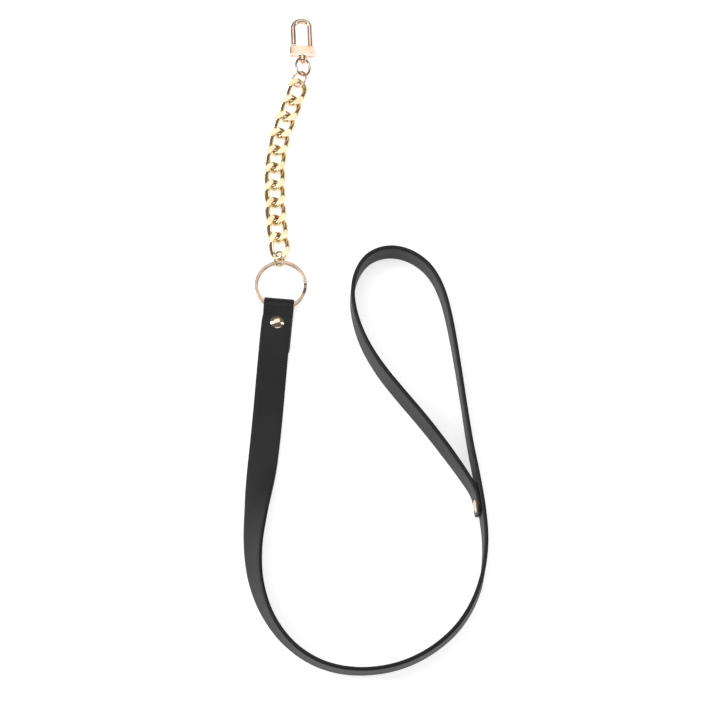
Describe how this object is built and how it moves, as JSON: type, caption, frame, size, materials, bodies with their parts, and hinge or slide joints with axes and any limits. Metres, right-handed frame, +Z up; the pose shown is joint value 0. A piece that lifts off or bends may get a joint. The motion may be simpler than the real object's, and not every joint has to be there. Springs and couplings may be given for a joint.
{
  "type": "wristlet keychain",
  "caption": "Long leather strap with a teardrop wrist loop, folded round a split ring and followed by a flat curb chain and a swivel snap clasp.",
  "frame": {"origin": "under the middle of the laid-out object, on the table", "axes": "+Y from the strap's wide bend to the clasp, +X to the right of it, +Z up from the table"},
  "size_m": [0.1203, 0.3451, 0.0151],
  "materials": {
    "strap_leather": "smooth charcoal leather with a fine grain and painted edges",
    "rose_gold": "polished rose-gold plate",
    "yellow_gold": "polished champagne-gold plate",
    "spring_steel": "bright spring wire"
  },
  "bodies": {
    "strap": {"strap": "strap_leather", "tab_rivet_cap": "rose_gold", "tab_rivet_post": "rose_gold", "loop_rivet_cap": "rose_gold", "loop_rivet_post": "rose_gold"},
    "split_ring": {"split_ring": "rose_gold"},
    "lower_jump_ring": {"lower_jump_ring": "yellow_gold"},
    "chain_link_10": {"chain_link_10": "yellow_gold"},
    "chain_link_09": {"chain_link_09": "yellow_gold"},
    "chain_link_08": {"chain_link_08": "yellow_gold"},
    "chain_link_07": {"chain_link_07": "yellow_gold"},
    "chain_link_06": {"chain_link_06": "yellow_gold"},
    "chain_link_05": {"chain_link_05": "yellow_gold"},
    "chain_link_04": {"chain_link_04": "yellow_gold"},
    "chain_link_03": {"chain_link_03": "yellow_gold"},
    "chain_link_02": {"chain_link_02": "yellow_gold"},
    "chain_link_01": {"chain_link_01": "yellow_gold"},
    "upper_jump_ring": {"upper_jump_ring": "rose_gold"},
    "swivel_eye": {"swivel_eye": "rose_gold"},
    "hook": {"hook_frame": "rose_gold", "swivel_rivet": "rose_gold", "gate_pin": "rose_gold", "gate_spring": "spring_steel"},
    "gate": {"gate": "rose_gold"}
  },
  "joints": [
    {"name": "split_ring_swing", "type": "hinge", "parent": "strap", "child": "split_ring", "pos_m": [-0.0433, 0.0166, 0.0037], "axis": [0.9962, -0.0872, 0], "range_deg": [-150, 150]},
    {"name": "lower_jump_ring_swing", "type": "hinge", "parent": "split_ring", "child": "lower_jump_ring", "pos_m": [-0.0413, 0.0397, 0.00285], "axis": [-0.9962, 0.0872, 0], "range_deg": [-20, 20]},
    {"name": "chain_link_10_bend", "type": "hinge", "parent": "lower_jump_ring", "child": "chain_link_10", "pos_m": [-0.04247, 0.04228, 0.00322], "axis": [-0.9925, -0.1219, 0], "range_deg": [-20, 8]},
    {"name": "chain_link_09_bend", "type": "hinge", "parent": "chain_link_10", "child": "chain_link_09", "pos_m": [-0.04381, 0.05323, 0.00261], "axis": [-0.9925, -0.1219, 0], "range_deg": [-18, 18]},
    {"name": "chain_link_08_bend", "type": "hinge", "parent": "chain_link_09", "child": "chain_link_08", "pos_m": [-0.04482, 0.0626, 0.0024], "axis": [-0.9958, -0.0915, 0], "range_deg": [-18, 18]},
    {"name": "chain_link_07_bend", "type": "hinge", "parent": "chain_link_08", "child": "chain_link_07", "pos_m": [-0.04548, 0.072, 0.0024], "axis": [-0.9988, -0.048, 0], "range_deg": [-18, 18]},
    {"name": "chain_link_06_bend", "type": "hinge", "parent": "chain_link_07", "child": "chain_link_06", "pos_m": [-0.04579, 0.08143, 0.0024], "axis": [-0.9998, -0.0174, 0], "range_deg": [-18, 18]},
    {"name": "chain_link_05_bend", "type": "hinge", "parent": "chain_link_06", "child": "chain_link_05", "pos_m": [-0.04564, 0.09084, 0.0024], "axis": [-0.9988, 0.048, 0], "range_deg": [-18, 18]},
    {"name": "chain_link_04_bend", "type": "hinge", "parent": "chain_link_05", "child": "chain_link_04", "pos_m": [-0.0447, 0.1002, 0.0024], "axis": [-0.9884, 0.1521, 0], "range_deg": [-18, 18]},
    {"name": "chain_link_03_bend", "type": "hinge", "parent": "chain_link_04", "child": "chain_link_03", "pos_m": [-0.04275, 0.10939, 0.0024], "axis": [-0.9648, 0.263, 0], "range_deg": [-18, 18]},
    {"name": "chain_link_02_bend", "type": "hinge", "parent": "chain_link_03", "child": "chain_link_02", "pos_m": [-0.03999, 0.1184, 0.0024], "axis": [-0.9469, 0.3214, 0], "range_deg": [-18, 18]},
    {"name": "chain_link_01_bend", "type": "hinge", "parent": "chain_link_02", "child": "chain_link_01", "pos_m": [-0.03696, 0.12733, 0.0024], "axis": [-0.9469, 0.3214, 0], "range_deg": [-18, 18]},
    {"name": "upper_jump_ring_swing", "type": "hinge", "parent": "chain_link_01", "child": "upper_jump_ring", "pos_m": [-0.03389, 0.13646, 0.0024], "axis": [-0.9483, 0.3173, 0], "range_deg": [-25, 25]},
    {"name": "swivel_eye_swing", "type": "hinge", "parent": "upper_jump_ring", "child": "swivel_eye", "pos_m": [-0.0333, 0.1419, 0.0029], "axis": [-0.999, -0.0436, 0], "range_deg": [-25, 10]},
    {"name": "clasp_swivel", "type": "hinge", "parent": "swivel_eye", "child": "hook", "pos_m": [-0.03217, 0.1518, 0.003], "axis": [-0.0436, 0.9989, -0.0174], "continuous": true},
    {"name": "gate_open", "type": "hinge", "parent": "hook", "child": "gate", "pos_m": [-0.03653, 0.15452, 0.0037], "axis": [-0.1727, -0.0247, -0.9847], "range_deg": [0, 24], "stiffness_Nm_per_rad": 0.0001, "springref_deg": -20.05, "deforming": ["gate_spring"]}
  ]
}
